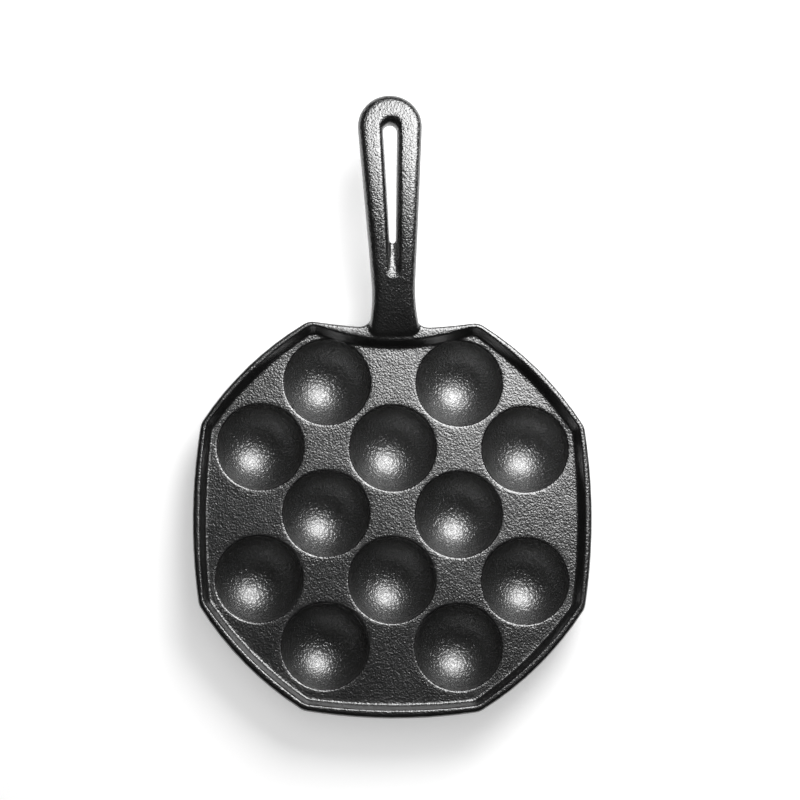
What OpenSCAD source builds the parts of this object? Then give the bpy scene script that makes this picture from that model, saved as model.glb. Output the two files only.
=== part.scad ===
// Takoyaki pan, cast in one piece: an octagonal tray with twelve round wells, a raised rim,
// a cup under each well and one long handle with a hanging slot.
// The pan stands on its cups at z = 0 and its handle points along +Y.

/* [Wells] */
// Distance between the centres of neighbouring wells
well_pitch = 47; // [45:0.5:54]
// Radius of the ball that a well forms
well_r = 21.6; // [18:0.1:22]
// Height of the ball's centre over the tray's face
well_lift = 2; // [1:0.1:6]
// Radius of the soft edge round a well's mouth
mouth_edge_r = 0.8; // [0.5:0.1:1.2]
// Iron between a well and the outside of its cup
cup_wall = 3.5; // [2.8:0.1:4.5]
// Iron under the deepest point of a well, where the cup is flattened into a foot
cup_floor = 2.8; // [2:0.1:2.8]

/* [Tray] */
// Thickness of the tray's plate
plate_t = 4; // [3:0.1:6]
// From the mouths of the end wells out to the line of the end corners
end_margin = 9.3; // [9:0.1:16]
// From the mouths of the side wells out to the line of the side corners
side_margin = 8; // [8:0.1:16]
// From the centre of an end well across to the end corner beside it
end_corner_out = 10.8; // [8:0.1:16]
// From the centre of a side well along to the side corner beside it
side_corner_out = 12.5; // [8:0.1:16]
// How far the rim's middle lies in front of the wells' middle
rim_shift = 1.2; // [0:0.1:2]
// Radius of the outline's eight corners
corner_r = 8; // [5:0.5:12]
// Bulge of the two sides and the front
side_bow = 3.2; // [1:0.1:5]
// Bulge of the four slanting sides
slant_bow = 3.7; // [1:0.1:5]
// Hollow of the outline's back, where the handle leaves it
back_hollow = 3; // [1:0.1:4]

/* [Rim] */
// Height of the rim over the tray's face
rim_h = 6; // [4:0.1:10]
// Width of the rim's top at its corners
rim_w = 3; // [2.8:0.1:3.6]
// Extra width of the rim at the middle of its sides
rim_swell = 0.8; // [0:0.1:1.2]
// How far the rim's inner edge lies behind the middle of its outer edge
rim_offset = 0.4; // [0:0.1:0.8]
// Radius of the corners at the rim's inner edge
inner_corner_r = 7.5; // [5:0.1:9]
// How far the inner wall slopes in on its way down
wall_run = 2.1; // [1.5:0.1:3]
// Radius of the cove where the inner wall meets the face
cove_r = 1.2; // [0.6:0.1:1.5]
// Radius of the rim's outer top edge
lip_r = 1.6; // [0.8:0.1:2]
// Radius of the rim's inner top edge
inner_edge_r = 0.6; // [0.3:0.1:1]
// Radius of the lower edge of the outer wall
skirt_edge_r = 1.5; // [0.8:0.1:2]
// How far the outer wall slopes in on its way down
skirt_draft = 0.3; // [0.2:0.1:2]
// Extra iron inside the rim at the root of the handle
root_swell = 4; // [1:0.1:5]
// Radius of the fillets between the rim and the sides of the handle
root_fillet_r = 6.5; // [4:0.5:9]

/* [Handle] */
// Length from the line of the back corners to the tip
handle_l = 113.6; // [100:0.5:150]
// Lean of the handle to the left, as it came out of the mould
handle_lean = 1.9; // [0:0.1:2]
// Height of the handle's crown over the rim
handle_rise = 20; // [10:1:30]
// From the tip back to the crown
crown_back = 27; // [15:1:40]
// Thickness at the crown
handle_t = 10; // [9:0.5:14]
// Width across the round end
tip_w = 32.5; // [28:0.5:40]
// Width at the neck
neck_w = 21.8; // [19:0.2:26]
// From the line of the back corners to the neck
neck_out = 15; // [12:1:25]
// Radius of the sweep that widens the neck towards the rim
neck_sweep_r = 80; // [60:5:120]
// Width of the toe where the handle runs out on the rim
toe_w = 18; // [14:0.5:20]
// Radius of the handle's upper edges
handle_top_r = 4; // [2:0.1:4.5]
// Radius of the handle's lower edges
handle_low_r = 3; // [1.5:0.1:4]

/* [Hanging slot] */
// Iron left between the slot and the tip, on top
slot_band = 9.7; // [7:0.1:12]
// Length of the slot on top
slot_l = 83; // [50:0.5:90]
// Width of the slot's wide end on top
slot_w = 12.4; // [11:0.1:15]
// Width of the slot's narrow end on top
slot_narrow_w = 8; // [7:0.1:10]
// Width of the wide end where the slot goes through
gap_w = 6.8; // [5:0.1:8]
// Width of the narrow end where the slot goes through
gap_narrow_w = 3; // [2:0.1:4]
// Slope at the wide end, measured along the handle
slot_end_run = 5.4; // [3:0.1:8]
// Ramp at the narrow end, measured along the handle
slot_ramp = 18; // [8:0.5:25]
// Depth over which the slot's walls round over
slot_round = 5.5; // [3:0.1:6]

/* [Hidden] */

$fn = 96;
overlap = 0.5;
cut_clear = 2;
crease = 0.05;
skirt_rise = 0.6;

// Heights
well_depth = well_r - well_lift;
face_z = cup_floor + well_depth;
ball_z = face_z + well_lift;
plate_low_z = face_z - plate_t;
rim_z = face_z + rim_h;
crown_z = rim_z + handle_rise;

// The wells stand on a square lattice that is turned by 45 degrees
half_step = well_pitch / sqrt(2);
mouth_r = sqrt(pow(well_r, 2) - pow(well_lift, 2));
well_centres = [
    for (row = [-2:2])
        for (x = row % 2 == 0 ? [-1, 1] : [-2, 0, 2])
            [x * half_step, row * half_step]
];

// Corners of the outline on its right side, from the back to the front
end_x = half_step + end_corner_out;
side_x = 2 * half_step + mouth_r + side_margin;
end_y = 2 * half_step + mouth_r + end_margin;
side_y = half_step + side_corner_out;
corners = [
    [end_x, end_y - rim_shift],
    [side_x, side_y - rim_shift],
    [side_x, -side_y - rim_shift],
    [end_x, -end_y - rim_shift]
];

function unit(v) = v / norm(v);
function flip(p) = [-p[0], p[1]];
function sign_of(v) = v < 0 ? -1 : 1;

// A station is a point of an outline: a centre, a signed radius that is negative on a hollow
// arc, and the direction that faces out. Moving a station in by d gives a parallel outline.
function inset(s, d) = s[0] + (s[1] - d) * [cos(s[2]), sin(s[2])];
function arc(centre, r, a0, a1, n, first = 0) =
    [for (i = [first:n]) [centre, r, a0 + (a1 - a0) * i / n]];
function line(p0, p1, a, r, n) =
    [for (i = [1:n - 1]) [p0 + (p1 - p0) * i / n - r * [cos(a), sin(a)], r, a]];

// Centre of the round corner at p, between its neighbours, w inside the outline
function corner_centre(before, p, after, w, r) =
    let (out = unit(unit(p - before) + unit(p - after)))
    p - out * (w / cos(22.5) + r);

// Bowed side from corner centre c0 to c1: [centre, signed radius, first angle, last angle]
function bowed(c0, c1, bow, r) =
    let (
        half = norm(c1 - c0) / 2,
        along = unit(c1 - c0),
        out = [-along[1], along[0]],
        rho = pow(half, 2) / (2 * abs(bow)) + abs(bow) / 2,
        s = sign_of(bow),
        middle = atan2(out[1], out[0]),
        swing = s * asin(half / rho)
    )
    [(c0 + c1) / 2 - s * out * (rho - abs(bow)), s * rho + r, middle + swing, middle - swing];

// Segments of each kind of stretch, the same for the outer and the inner outline
root_steps = 9;
back_steps = 5;
corner_steps = 3;
slant_steps = 8;
side_steps = 10;

function centres(w, r) = [
    corner_centre(flip(corners[0]), corners[0], corners[1], w, r),
    corner_centre(corners[0], corners[1], corners[2], w, r),
    corner_centre(corners[1], corners[2], corners[3], w, r),
    corner_centre(corners[2], corners[3], flip(corners[3]), w, r)
];

function corner_arc(c, r, before, after) = arc(c, r, before[3], after[2], corner_steps, 1);
function side_arc(b, n) = arc(b[0], b[1], b[2], b[3], n, 1);

// Stations from the end of the back, round the right side, to the middle of the front
function flank(c, r, back, swell) =
    let (
        back_slant = bowed(c[0], c[1], slant_bow - swell, r),
        side = bowed(c[1], c[2], side_bow - swell, r),
        front_slant = bowed(c[2], c[3], slant_bow - swell, r),
        front = bowed(c[3], flip(c[3]), side_bow - swell, r)
    )
    concat(
        corner_arc(c[0], r, back, back_slant),
        side_arc(back_slant, slant_steps),
        corner_arc(c[1], r, back_slant, side),
        side_arc(side, side_steps),
        corner_arc(c[2], r, side, front_slant),
        side_arc(front_slant, slant_steps),
        corner_arc(c[3], r, front_slant, front),
        arc(front[0], front[1], front[2], -90, side_steps / 2, 1)
    );

// Handle in plan: a round end, straight tapering sides and a neck that sweeps out to the rim
tip_r = tip_w / 2;
tip_y = corners[0][1] + handle_l;
tip_centre = [0, tip_y - tip_r];
neck_y = corners[0][1] + neck_out;
neck_centre = [neck_w / 2 + neck_sweep_r, neck_y];
taper_a = let (to_neck = neck_centre - tip_centre)
    atan2(to_neck[1], to_neck[0]) + acos((tip_r + neck_sweep_r) / norm(to_neck));
function neck_half(y) =
    neck_centre[0] - sqrt(pow(neck_sweep_r, 2) - pow(y - neck_centre[1], 2));

// Outer outline: the back is hollow and turns out along the sides of the handle
outer_centres = centres(0, corner_r);
outer_back = bowed(flip(outer_centres[0]), outer_centres[0], -back_hollow, corner_r);
back_r = -outer_back[1];
pad_half = neck_half(neck_y) + crease;
fillet_x = pad_half + root_fillet_r;
fillet_centre = [
    fillet_x,
    outer_back[0][1] - sqrt(pow(back_r - root_fillet_r, 2) - pow(fillet_x, 2))
];
fillet_end_a = atan2(outer_back[0][1] - fillet_centre[1], -fillet_x);
pad_corner_r = 2.6;
pad_y = fillet_centre[1] + pad_corner_r + overlap;
outer = concat(
    [[[0, pad_y - pad_corner_r], pad_corner_r, 90]],
    arc([pad_half - pad_corner_r, pad_y - pad_corner_r], pad_corner_r, 90, 0, 2),
    arc(fillet_centre, -root_fillet_r, 0, fillet_end_a, root_steps - 4, 0),
    arc(outer_back[0], outer_back[1], fillet_end_a, outer_back[3], back_steps, 1),
    flank(outer_centres, corner_r, outer_back, 0)
);

// Inner edge of the rim, swollen inwards at the root of the handle
inner_centres = [for (c = centres(rim_w, inner_corner_r)) c + [0, rim_offset]];
inner_back = bowed(
    flip(inner_centres[0]), inner_centres[0], -back_hollow - root_swell, inner_corner_r
);
inner_root_a = 90 + asin(fillet_x / -inner_back[1]);
inner = concat(
    arc(inner_back[0], inner_back[1], 90, inner_root_a, root_steps),
    arc(inner_back[0], inner_back[1], inner_root_a, inner_back[3], back_steps, 1),
    flank(inner_centres, inner_corner_r, inner_back, rim_swell)
);

// The handle's top and underside rise from the rim to the crown in one sweep each
toe_y = inset(inner[0], 0)[1];
root_y = inset(outer_back, 0)[1];
back_y = outer_back[0][1] - back_r;
crown_y = tip_y - crown_back;
root_low_z = plate_low_z + overlap;
crown_low_z = crown_z - handle_t;
function top_z(y) = crown_z - handle_rise * pow((crown_y - y) / (crown_y - toe_y), 2);
function low_z(y) =
    crown_low_z - (crown_low_z - root_low_z) * pow((crown_y - max(y, back_y)) / (crown_y - back_y), 2);

// The pan's origin is under the middle of its overall length
front_y = inset(outer[len(outer) - 1], 0)[1];
lean_centre = [0, pad_y];
reach_y = pad_y + (tip_centre[1] - pad_y) * cos(handle_lean) + tip_r;
middle_y = (front_y + reach_y) / 2;

// Whole ring of plan points from the stations of its right half
function ring(half, d, closed_end) = concat(
    [for (s = half) inset(s, d)],
    [for (i = [len(half) - (closed_end ? 2 : 1):-1:1]) flip(inset(half[i], d))]
);

// Walls between successive rings, each with two triangles per step
function walls(count, m) = [
    for (k = [0:count - 2])
        for (i = [0:m - 1])
            let (a = k * m + i, b = k * m + (i + 1) % m)
            each [[a, b, b + m], [a, b + m, a + m]]
];

module tray() {
    skirt_low = function (p) plate_low_z + skirt_rise * max(0, p[1] - back_y);
    at_z = function (points, z) [for (p = points) [p[0], p[1], z]];
    above_skirt = function (points, z) [for (p = points) [p[0], p[1], skirt_low(p) + z]];
    edge_steps = 3;
    rings = [
        at_z(ring(inner, 0, true), plate_low_z),
        for (i = [0:edge_steps])
            let (a = 90 * i / edge_steps)
            above_skirt(
                ring(outer, skirt_draft + skirt_edge_r * (1 - sin(a)), true),
                skirt_edge_r * (1 - cos(a))
            ),
        for (i = [0:edge_steps])
            let (a = 90 * i / edge_steps)
            at_z(ring(outer, lip_r * (1 - cos(a)), true), rim_z - lip_r * (1 - sin(a))),
        for (i = [0:edge_steps - 1])
            let (a = 90 * i / (edge_steps - 1))
            at_z(
                ring(inner, -inner_edge_r * (1 - sin(a)), true),
                rim_z - inner_edge_r * (1 - cos(a))
            ),
        for (i = [0:edge_steps])
            let (a = 90 * i / edge_steps)
            at_z(
                ring(inner, wall_run + cove_r * (1 - cos(a)), true),
                face_z + cove_r * (1 - sin(a))
            )
    ];
    m = len(rings[0]);
    last = (len(rings) - 1) * m;
    low_pole = len(rings) * m;
    polyhedron(
        points = concat([for (r = rings) each r], [[0, 0, plate_low_z], [0, 0, face_z]]),
        faces = concat(
            walls(len(rings), m),
            [for (i = [0:m - 1]) [low_pole, (i + 1) % m, i]],
            [for (i = [0:m - 1]) [low_pole + 1, last + i, last + (i + 1) % m]]
        )
    );
}

// Closed body between a lowest and a highest ring whose right and left points mirror each other
module mirrored_loft(rings) {
    m = len(rings[0]);
    last = (len(rings) - 1) * m;
    half = floor(m / 2);
    cap = [
        for (i = [0:half - 1])
            let (a = i, b = i + 1, c = (m - b) % m, d = (m - a) % m)
            each concat(a == d ? [] : [[a, b, d]], b == c ? [] : [[b, c, d]])
    ];
    polyhedron(
        points = [for (r = rings) each r],
        faces = concat(
            walls(len(rings), m),
            [for (t = cap) last * [1, 1, 1] + t],
            [for (t = cap) [t[2], t[1], t[0]]]
        )
    );
}

module handle() {
    taper_start = inset([tip_centre, tip_r, taper_a], 0);
    taper_end = inset([neck_centre, -neck_sweep_r, taper_a], 0);
    root_a = asin((neck_y - back_y) / neck_sweep_r);
    root_point = inset([neck_centre, -neck_sweep_r, root_a], 0);
    root_round_r = 5;
    root_centre = root_point - root_round_r * [cos(root_a), sin(root_a)];
    toe_end = [toe_w / 2, toe_y + overlap];
    to_toe = toe_end - root_centre;
    toe_a = atan2(to_toe[1], to_toe[0]) + acos(root_round_r / norm(to_toe));
    half = concat(
        arc(tip_centre, tip_r, 90, taper_a, 12),
        line(taper_start, taper_end, taper_a, tip_r, 10),
        arc(neck_centre, -neck_sweep_r, taper_a, root_a, 6),
        arc(root_centre, root_round_r, root_a, toe_a, 3, 1),
        [[toe_end - root_round_r * [cos(toe_a), sin(toe_a)], root_round_r, toe_a]]
    );
    low_steps = 3;
    top_steps = 4;
    mirrored_loft([
        for (i = [0:low_steps])
            let (a = 90 * i / low_steps)
            [for (p = ring(half, handle_low_r * (1 - sin(a)), false))
                [p[0], p[1], low_z(p[1]) + handle_low_r * (1 - cos(a))]],
        for (i = [0:top_steps])
            let (a = 90 * i / top_steps)
            [for (p = ring(half, handle_top_r * (1 - cos(a)), false))
                [p[0], p[1], top_z(p[1]) - handle_top_r * (1 - sin(a))]]
    ]);
}

// Plan of the slot: two round ends joined by straight sides. The sides have come in by u of their
// way and the ramp by t of its own, both 0 on top and 1 where the slot goes through.
function slot_plan(u, t, grow) =
    let (
        wide_r = (slot_w + (gap_w - slot_w) * u) / 2 + grow,
        narrow_r = (slot_narrow_w + (gap_narrow_w - slot_narrow_w) * u) / 2 + grow,
        end_y = tip_y - slot_band - slot_end_run * u + grow,
        start_y = tip_y - slot_band - slot_l + slot_ramp * t - grow,
        wide_c = [0, end_y - wide_r],
        narrow_c = [0, start_y + narrow_r],
        a = -asin((wide_r - narrow_r) / (wide_c[1] - narrow_c[1])),
        out = [cos(a), sin(a)]
    )
    concat(
        arc(wide_c, wide_r, 90, a, 8),
        line(wide_c + wide_r * out, narrow_c + narrow_r * out, a, 1, 12),
        arc(narrow_c, narrow_r, a, -90, 6)
    );

module slot() {
    round_steps = 5;
    low_round = 1.2;
    under = function (points, drop) [for (p = points) [p[0], p[1], top_z(p[1]) - drop]];
    over_low = function (points, z) [for (p = points) [p[0], p[1], low_z(p[1]) + z]];
    mirrored_loft([
        over_low(ring(slot_plan(1, 1, low_round), 0, true), -cut_clear),
        over_low(ring(slot_plan(1, 1, low_round), 0, true), -crease),
        over_low(ring(slot_plan(1, 1, low_round / 3), 0, true), low_round / 2),
        over_low(ring(slot_plan(1, 1, 0), 0, true), low_round),
        for (i = [round_steps:-1:1])
            let (u = sin(90 * i / round_steps), t = 1 - cos(90 * i / round_steps))
            under(ring(slot_plan(u, t, 0), 0, true), slot_round * t),
        under(ring(slot_plan(0, 0, 0), 0, true), -crease),
        under(ring(slot_plan(0, 0, cut_clear / 2), 0, true), -cut_clear)
    ]);
}

// Outside of one cup: a ball that is flattened where it stands and ends inside the plate
module cup() {
    rotate_extrude()
        intersection() {
            translate([0, ball_z]) circle(r = well_r + cup_wall);
            square([well_r + cup_wall, face_z - plate_t / 2]);
        }
}

// Hollow of one well with the soft edge of its mouth
module well() {
    edge_z = face_z - mouth_edge_r + crease;
    edge_x = sqrt(pow(well_r + mouth_edge_r - crease, 2) - pow(ball_z - edge_z, 2));
    meet_z = ball_z - (ball_z - edge_z) * well_r / (well_r + mouth_edge_r);
    rotate_extrude()
        union() {
            intersection() {
                translate([0, ball_z]) circle(r = well_r);
                square([well_r, face_z + well_lift / 2]);
            }
            difference() {
                translate([0, meet_z]) square([edge_x, face_z + cut_clear - meet_z]);
                translate([edge_x, edge_z]) circle(r = mouth_edge_r);
            }
        }
}

// Turns what is in it to the left about the root of the handle
module lean() {
    translate(lean_centre) rotate(handle_lean) translate(-lean_centre) children();
}

module pan_casting() {
    color("#2d2d2e")
        translate([0, -middle_y, 0])
            difference() {
                union() {
                    tray();
                    lean() handle();
                    for (c = well_centres) translate(c) cup();
                }
                for (c = well_centres) translate(c) well();
                lean() slot();
            }
}

pan_casting();
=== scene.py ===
import math

import bpy
from mathutils import Matrix, Vector


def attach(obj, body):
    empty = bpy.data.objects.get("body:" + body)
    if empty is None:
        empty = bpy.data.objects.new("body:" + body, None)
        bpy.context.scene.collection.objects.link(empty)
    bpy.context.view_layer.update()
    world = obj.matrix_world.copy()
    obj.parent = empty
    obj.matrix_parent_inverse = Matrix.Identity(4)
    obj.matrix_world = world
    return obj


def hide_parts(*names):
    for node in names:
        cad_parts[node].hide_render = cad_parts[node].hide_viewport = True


mm = 0.001

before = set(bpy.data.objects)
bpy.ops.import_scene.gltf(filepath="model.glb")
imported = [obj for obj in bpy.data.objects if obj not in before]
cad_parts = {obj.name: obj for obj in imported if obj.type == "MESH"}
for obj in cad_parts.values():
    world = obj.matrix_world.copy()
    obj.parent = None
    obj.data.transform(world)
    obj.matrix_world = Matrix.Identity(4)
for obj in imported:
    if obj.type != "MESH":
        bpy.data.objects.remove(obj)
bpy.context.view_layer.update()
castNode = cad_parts["pan_casting"]


# Helpers for meshes

def onlySelect(piece):
    bpy.ops.object.select_all(action="DESELECT")
    piece.select_set(True)
    bpy.context.view_layer.objects.active = piece


def applyModifier(piece, name, kind, **values):
    onlySelect(piece)
    modifier = piece.modifiers.new(name, kind)
    for key, value in values.items():
        setattr(modifier, key, value)
    bpy.ops.object.modifier_apply(modifier=name)


# Helpers for shader nodes

def addNode(tree, kind, place, **values):
    node = tree.nodes.new(kind)
    node.location = place
    for key, value in values.items():
        if key in node.inputs:
            node.inputs[key].default_value = value
        else:
            setattr(node, key, value)
    return node


def maths(tree, operation, place, first, second=None):
    node = addNode(tree, "ShaderNodeMath", place, operation=operation)
    for socket, value in zip(node.inputs, (first, second)):
        if isinstance(value, (int, float)):
            socket.default_value = value
        elif value is not None:
            tree.links.new(value, socket)
    return node.outputs[0]


def fade(tree, place, value, zeroAt, oneAt):
    node = addNode(tree, "ShaderNodeMapRange", place, interpolation_type="SMOOTHSTEP")
    tree.links.new(value, node.inputs["Value"])
    node.inputs["From Min"].default_value = zeroAt
    node.inputs["From Max"].default_value = oneAt
    return node.outputs["Result"]


def newGroup(name, inputs, outputs):
    group = bpy.data.node_groups.new(name, "ShaderNodeTree")
    for label, kind, default in inputs:
        socket = group.interface.new_socket(name=label, in_out="INPUT", socket_type=kind)
        if default is not None:
            socket.default_value = default
    for label, kind in outputs:
        group.interface.new_socket(name=label, in_out="OUTPUT", socket_type=kind)
    entry = addNode(group, "NodeGroupInput", (-1000, 0))
    leave = addNode(group, "NodeGroupOutput", (800, 0))
    return group, entry.outputs, leave.inputs


# The casting: the CAD solid with its edges softened and its skin uneven, as sand leaves them

pan = {
    "mergeGap": 0.004 * mm,
    "voxel": 0.5 * mm,
    "softenSteps": 7,
    "triangles": 185000,
    "waveSize": 11 * mm,
    "waveHeight": 0.16 * mm,
    "pebbleSize": 3.2 * mm,
    "pebbleHeight": 0.07 * mm,
    "skinLevel": 0.8,        # keeps the uneven skin inside the solid's box
}


def buildPan():
    onlySelect(castNode)
    bpy.ops.object.duplicate()
    piece = bpy.context.view_layer.objects.active
    piece.name = "panSkin"
    piece.data.materials.clear()

    bpy.ops.object.mode_set(mode="EDIT")
    bpy.ops.mesh.select_all(action="SELECT")
    bpy.ops.mesh.remove_doubles(threshold=pan["mergeGap"])
    bpy.ops.object.mode_set(mode="OBJECT")

    applyModifier(piece, "resample", "REMESH", mode="VOXEL", voxel_size=pan["voxel"], adaptivity=0)
    applyModifier(piece, "soften", "SMOOTH", factor=0.5, iterations=pan["softenSteps"])

    for name, size, height in (
        ("wave", pan["waveSize"], pan["waveHeight"]),
        ("pebble", pan["pebbleSize"], pan["pebbleHeight"]),
    ):
        skin = bpy.data.textures.new(name, "CLOUDS")
        skin.noise_scale = size
        skin.noise_basis = "IMPROVED_PERLIN"
        applyModifier(
            piece, name, "DISPLACE",
            texture=skin, texture_coords="LOCAL", mid_level=pan["skinLevel"], strength=height,
        )

    count = sum(len(p.vertices) - 2 for p in piece.data.polygons)
    applyModifier(
        piece, "thin", "DECIMATE",
        ratio=min(1, pan["triangles"] / count), use_collapse_triangulate=True,
    )
    bpy.ops.object.shade_smooth()
    return piece


panSkin = buildPan()
print("pan:", len(panSkin.data.polygons), "triangles")


# Finish: black seasoned iron, grainy on the open faces, oily in the wells, smooth on the rim's walls

iron = {
    "colour": (0.0022, 0.0022, 0.0023, 1),
    "paleColour": (0.0044, 0.0044, 0.0044, 1),
    "ior": 2.22,
    "roughness": 0.28,
    "wellRoughness": 0.32,
    "wallRoughness": 0.31,
    "grainSize": 1.0 * mm,
    "grainHeight": 0.125 * mm,
    "wellGrainSize": 1.2 * mm,
    "wellGrainHeight": 0.36 * mm,
    "wallGrainHeight": 0.03 * mm,
    "handleGrainHeight": 0.16 * mm,
    "oilIor": 1.85,
    "oilRoughness": 0.40,
    "faceZ": 22.4 * mm,
    "rimZ": 28.4 * mm,
    "trayCentre": (0, -54.9 * mm, 0),
}
seasoning = {
    "patchesPerMetre": 45.0,
    "patchEdges": (0.35, 0.7),
    "extraRoughness": 0.03,
}
grainForm = {
    "bend": 0.9,             # how far the lumps are pushed about, in lumps
    "softness": 0.5,
    "gritPerLump": 2.0,
    "gritShare": 0.4,
}


# Pebbled skin of a sand casting: rounded lumps of about the given size with finer grit on them
def makeCastGrain():
    group, given, result = newGroup(
        "castGrain",
        [("Position", "NodeSocketVector", None), ("Size", "NodeSocketFloat", 0.001)],
        [("Height", "NodeSocketFloat")],
    )
    links = group.links
    lumpScale = maths(group, "DIVIDE", (-760, -60), 1, given["Size"])
    gritScale = maths(group, "MULTIPLY", (-560, -200), lumpScale, grainForm["gritPerLump"])

    warp = addNode(group, "ShaderNodeTexNoise", (-560, 220), Detail=1.0)
    links.new(given["Position"], warp.inputs["Vector"])
    links.new(lumpScale, warp.inputs["Scale"])
    push = addNode(group, "ShaderNodeVectorMath", (-380, 220), operation="SCALE")
    links.new(warp.outputs["Color"], push.inputs[0])
    reach = maths(group, "MULTIPLY", (-380, 80), given["Size"], grainForm["bend"])
    links.new(reach, push.inputs["Scale"])
    bent = addNode(group, "ShaderNodeVectorMath", (-200, 220), operation="ADD")
    links.new(given["Position"], bent.inputs[0])
    links.new(push.outputs[0], bent.inputs[1])

    lumps = addNode(group, "ShaderNodeTexVoronoi", (0, 220), feature="SMOOTH_F1")
    lumps.inputs["Smoothness"].default_value = grainForm["softness"]
    links.new(bent.outputs[0], lumps.inputs["Vector"])
    links.new(lumpScale, lumps.inputs["Scale"])
    grit = addNode(group, "ShaderNodeTexNoise", (0, -120), Detail=0.0)
    links.new(given["Position"], grit.inputs["Vector"])
    links.new(gritScale, grit.inputs["Scale"])

    domes = maths(group, "SUBTRACT", (200, 220), 1, lumps.outputs["Distance"])
    gritPart = maths(group, "MULTIPLY", (380, -60), grit.outputs[0], grainForm["gritShare"])
    links.new(maths(group, "ADD", (580, 60), domes, gritPart), result["Height"])
    return group


# Where each place of the casting begins and where it is reached in full
placeEdges = {
    "wellBelowFace": (0.45 * mm, 0.9 * mm),
    "wellFacesUp": (0.0, 0.12),
    "wallAboveFace": (0.1 * mm, 0.8 * mm),
    "wallFacesIn": (0.0, -2 * mm),
    "wallSteepness": (0.9, 0.7),
    "handleAboveRim": (0.6 * mm, 5 * mm),
}


# Masks of the wells, of the rim's inner wall and of the handle
def makeCastZones():
    group, given, result = newGroup(
        "castZones",
        [("Position", "NodeSocketVector", None), ("Normal", "NodeSocketVector", None)],
        [("Well", "NodeSocketFloat"), ("Wall", "NodeSocketFloat"), ("Handle", "NodeSocketFloat")],
    )
    links = group.links
    place = addNode(group, "ShaderNodeSeparateXYZ", (-760, 120))
    links.new(given["Position"], place.inputs[0])
    facing = addNode(group, "ShaderNodeSeparateXYZ", (-760, -120))
    links.new(given["Normal"], facing.inputs[0])
    height, up = place.outputs["Z"], facing.outputs["Z"]

    faceZ, rimZ = iron["faceZ"], iron["rimZ"]
    below = fade(group, (-520, 260), height, *(faceZ - drop for drop in placeEdges["wellBelowFace"]))
    upward = fade(group, (-520, 100), up, *placeEdges["wellFacesUp"])
    links.new(maths(group, "MULTIPLY", (-280, 200), below, upward), result["Well"])

    outward = addNode(group, "ShaderNodeVectorMath", (-520, -420), operation="SUBTRACT")
    links.new(given["Position"], outward.inputs[0])
    outward.inputs[1].default_value = iron["trayCentre"]
    across = addNode(group, "ShaderNodeVectorMath", (-340, -420), operation="DOT_PRODUCT")
    links.new(outward.outputs[0], across.inputs[0])
    links.new(given["Normal"], across.inputs[1])
    inward = fade(group, (-160, -420), across.outputs["Value"], *placeEdges["wallFacesIn"])
    slope = maths(group, "ABSOLUTE", (-340, -260), up)
    steep = fade(group, (-160, -260), slope, *placeEdges["wallSteepness"])
    above = fade(group, (-160, -100), height, *(faceZ + rise for rise in placeEdges["wallAboveFace"]))
    wall = maths(group, "MULTIPLY", (60, -200), maths(group, "MULTIPLY", (40, -340), inward, steep), above)
    links.new(wall, result["Wall"])

    risen = fade(group, (60, 0), height, *(rimZ + rise for rise in placeEdges["handleAboveRim"]))
    links.new(risen, result["Handle"])
    return group


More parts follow.
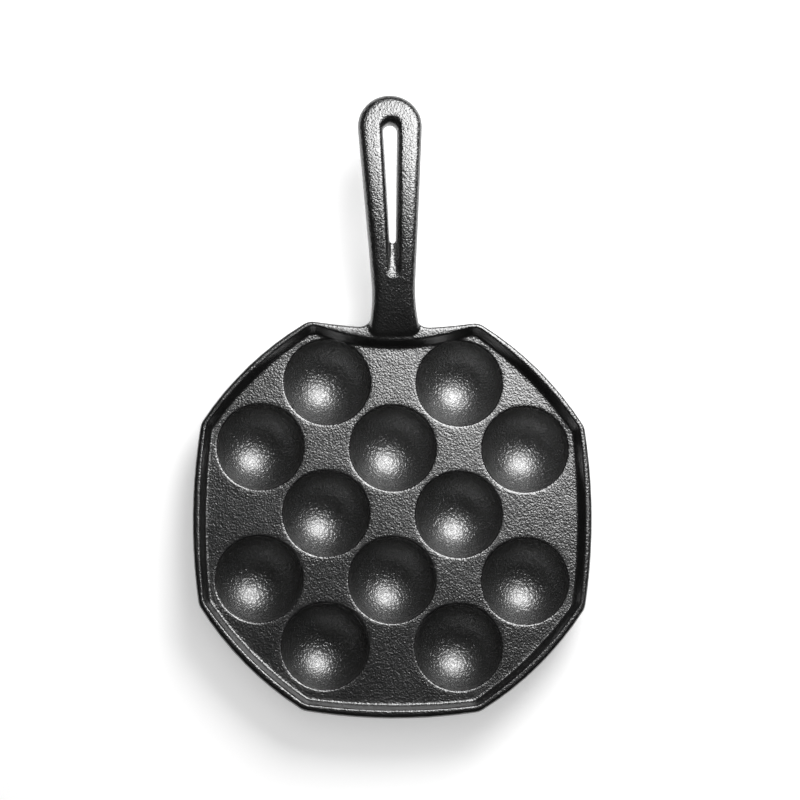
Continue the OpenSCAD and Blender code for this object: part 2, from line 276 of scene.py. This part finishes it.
def makeIron():
    material = bpy.data.materials.new("seasonedIron")
    material.use_nodes = True
    tree = material.node_tree
    links = tree.links
    shader = tree.nodes["Principled BSDF"]
    shader.inputs["IOR"].default_value = iron["ior"]
    shader.inputs["Metallic"].default_value = 0

    where = addNode(tree, "ShaderNodeTexCoord", (-1700, 200)).outputs["Object"]
    facing = addNode(tree, "ShaderNodeTexCoord", (-1700, -100)).outputs["Normal"]

    zones = addNode(tree, "ShaderNodeGroup", (-1400, -100), node_tree=makeCastZones())
    links.new(where, zones.inputs["Position"])
    links.new(facing, zones.inputs["Normal"])
    well, wall, handle = (zones.outputs[name] for name in ("Well", "Wall", "Handle"))

    castGrain = makeCastGrain()
    faceGrain = addNode(tree, "ShaderNodeGroup", (-1400, 400), node_tree=castGrain, Size=iron["grainSize"])
    wellGrain = addNode(tree, "ShaderNodeGroup", (-1400, 200), node_tree=castGrain, Size=iron["wellGrainSize"])
    for grain in (faceGrain, wellGrain):
        links.new(where, grain.inputs["Position"])

    # How proud the grain stands in each place
    openPart = maths(tree, "SUBTRACT", (-1100, 520), 1, maths(tree, "MAXIMUM", (-1250, 560), well, wall))
    extra = maths(tree, "MULTIPLY", (-1250, 700), handle, iron["handleGrainHeight"] - iron["grainHeight"])
    faceHeight = maths(tree, "ADD", (-1100, 700), extra, iron["grainHeight"])
    openHeight = maths(tree, "MULTIPLY", (-950, 520), openPart, faceHeight)
    wellHeight = maths(tree, "MULTIPLY", (-950, 360), well, iron["wellGrainHeight"])
    wallHeight = maths(tree, "MULTIPLY", (-950, 200), wall, iron["wallGrainHeight"])
    facePart = maths(tree, "MULTIPLY", (-760, 460), faceGrain.outputs["Height"], openHeight)
    smoothHeight = maths(tree, "ADD", (-760, 300), wellHeight, wallHeight)
    smoothPart = maths(tree, "MULTIPLY", (-580, 300), wellGrain.outputs["Height"], smoothHeight)
    bump = addNode(tree, "ShaderNodeBump", (-300, 300), Strength=1.0, Distance=1.0)
    links.new(maths(tree, "ADD", (-460, 400), facePart, smoothPart), bump.inputs["Height"])
    links.new(bump.outputs["Normal"], shader.inputs["Normal"])

    # A film of oil gathers in the wells
    links.new(well, shader.inputs["Coat Weight"])
    shader.inputs["Coat IOR"].default_value = iron["oilIor"]
    shader.inputs["Coat Roughness"].default_value = iron["oilRoughness"]

    # Uneven seasoning
    patches = addNode(tree, "ShaderNodeTexNoise", (-1100, -300), Detail=4.0, Roughness=0.6)
    patches.inputs["Scale"].default_value = seasoning["patchesPerMetre"]
    links.new(where, patches.inputs["Vector"])
    patch = fade(tree, (-900, -300), patches.outputs[0], *seasoning["patchEdges"])
    tone = addNode(tree, "ShaderNodeMix", (-500, -100), data_type="RGBA")
    tone.inputs[6].default_value = iron["colour"]
    tone.inputs[7].default_value = iron["paleColour"]
    links.new(patch, tone.inputs[0])
    links.new(tone.outputs[2], shader.inputs["Base Color"])

    moreInWell = maths(tree, "MULTIPLY", (-760, -520), well, iron["wellRoughness"] - iron["roughness"])
    moreOnWall = maths(tree, "MULTIPLY", (-760, -680), wall, iron["wallRoughness"] - iron["roughness"])
    change = maths(tree, "ADD", (-580, -600), moreInWell, moreOnWall)
    patchy = maths(tree, "MULTIPLY", (-580, -440), patch, seasoning["extraRoughness"])
    base = maths(tree, "ADD", (-400, -440), patchy, iron["roughness"])
    links.new(maths(tree, "ADD", (-220, -500), base, change), shader.inputs["Roughness"])
    return material


panSkin.data.materials.append(makeIron())
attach(panSkin, "root")
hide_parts("pan_casting")
print("iron finish done")


# White table

table = {
    "size": 8.0,
    "colour": (0.9, 0.9, 0.9, 1),
    "glow": 0.38,
}


def buildTable():
    bpy.ops.object.select_all(action="DESELECT")
    bpy.ops.mesh.primitive_plane_add(size=table["size"], location=(0, 0, 0))
    top = bpy.context.view_layer.objects.active
    top.name = "whiteTable"
    material = bpy.data.materials.new("whiteTable")
    material.use_nodes = True
    tree = material.node_tree
    shader = tree.nodes["Principled BSDF"]
    shader.inputs["Base Color"].default_value = table["colour"]
    shader.inputs["Roughness"].default_value = 0.9
    shader.inputs["Specular IOR Level"].default_value = 0
    shader.inputs["Emission Color"].default_value = (1, 1, 1, 1)
    rays = addNode(tree, "ShaderNodeLightPath", (-700, 0)).outputs
    seen = maths(tree, "MAXIMUM", (-500, 0), rays["Is Camera Ray"], rays["Is Glossy Ray"])
    seen = maths(tree, "MAXIMUM", (-340, 0), seen, rays["Is Transmission Ray"])
    tree.links.new(maths(tree, "MULTIPLY", (-180, 0), seen, table["glow"]), shader.inputs["Emission Strength"])
    top.data.materials.append(material)


buildTable()


# Light: a soft box beyond the handle and to the right, a wide overhead panel that only the dull
# table shows, and a dim room

aim = Vector((0, -0.054, 0.022))
softBox = {
    "direction": Vector((0.277, 0.595, 0.755)),
    "distance": 0.50,
    "size": 0.34,
    "power": 3.1,
    "inReflections": True,
}
overheadPanel = {
    "direction": Vector((0, 0, 1)),
    "distance": 2.8,
    "size": 2.5,
    "power": 30,
    "inReflections": False,
}
room = {
    "strength": 0.016,
}


def addPanel(name, panel):
    toLamp = panel["direction"].normalized()
    bpy.ops.object.light_add(type="AREA", location=aim + toLamp * panel["distance"])
    lamp = bpy.context.view_layer.objects.active
    lamp.name = name
    lamp.rotation_euler = toLamp.to_track_quat("Z", "Y").to_euler()
    lamp.data.shape = "SQUARE"
    lamp.data.size = panel["size"]
    lamp.data.energy = panel["power"]
    lamp.visible_glossy = panel["inReflections"]


def setRoom():
    world = bpy.data.worlds.new("room")
    bpy.context.scene.world = world
    world.use_nodes = True
    tree = world.node_tree
    background = tree.nodes["Background"]
    background.inputs["Color"].default_value = (1, 1, 1, 1)
    seen = addNode(tree, "ShaderNodeLightPath", (-600, 0)).outputs["Is Camera Ray"]
    strength = addNode(tree, "ShaderNodeMapRange", (-300, 0))
    strength.inputs["To Min"].default_value = room["strength"]
    strength.inputs["To Max"].default_value = 1.0
    tree.links.new(seen, strength.inputs["Value"])
    tree.links.new(strength.outputs["Result"], background.inputs["Strength"])


addPanel("softBox", softBox)
addPanel("overheadPanel", overheadPanel)
setRoom()
print("light done")


# Camera: almost straight above, from slightly in front

camera = {
    "target": Vector((0.00354, 0.00409, 0.0224)),
    "distance": 1.8,
    "tilt": 8.5,             # degrees from straight above, towards the front
    "swing": -14.0,          # degrees, to the left
    "roll": 0.28,
    "pixelsPerMetre": 1989.5,
    "imageWidth": 800,
}


def addCamera():
    tilt, swing, roll = (math.radians(camera[k]) for k in ("tilt", "swing", "roll"))
    back = Vector((math.sin(tilt) * math.sin(swing), -math.sin(tilt) * math.cos(swing), math.cos(tilt)))
    right = (-back).cross(Vector((0, 1, 0))).normalized()
    up = right.cross(-back)
    turned = right * math.cos(roll) + up * math.sin(roll)
    upright = -right * math.sin(roll) + up * math.cos(roll)
    bpy.ops.object.camera_add()
    viewer = bpy.context.view_layer.objects.active
    viewer.rotation_euler = Matrix((turned, upright, back)).transposed().to_euler()
    viewer.location = camera["target"] + back * camera["distance"]
    viewer.data.sensor_width = 36
    viewer.data.lens = 36 * camera["pixelsPerMetre"] * camera["distance"] / camera["imageWidth"]
    viewer.data.clip_end = 50
    bpy.context.scene.camera = viewer


addCamera()
bpy.context.scene.view_settings.view_transform = "Standard"
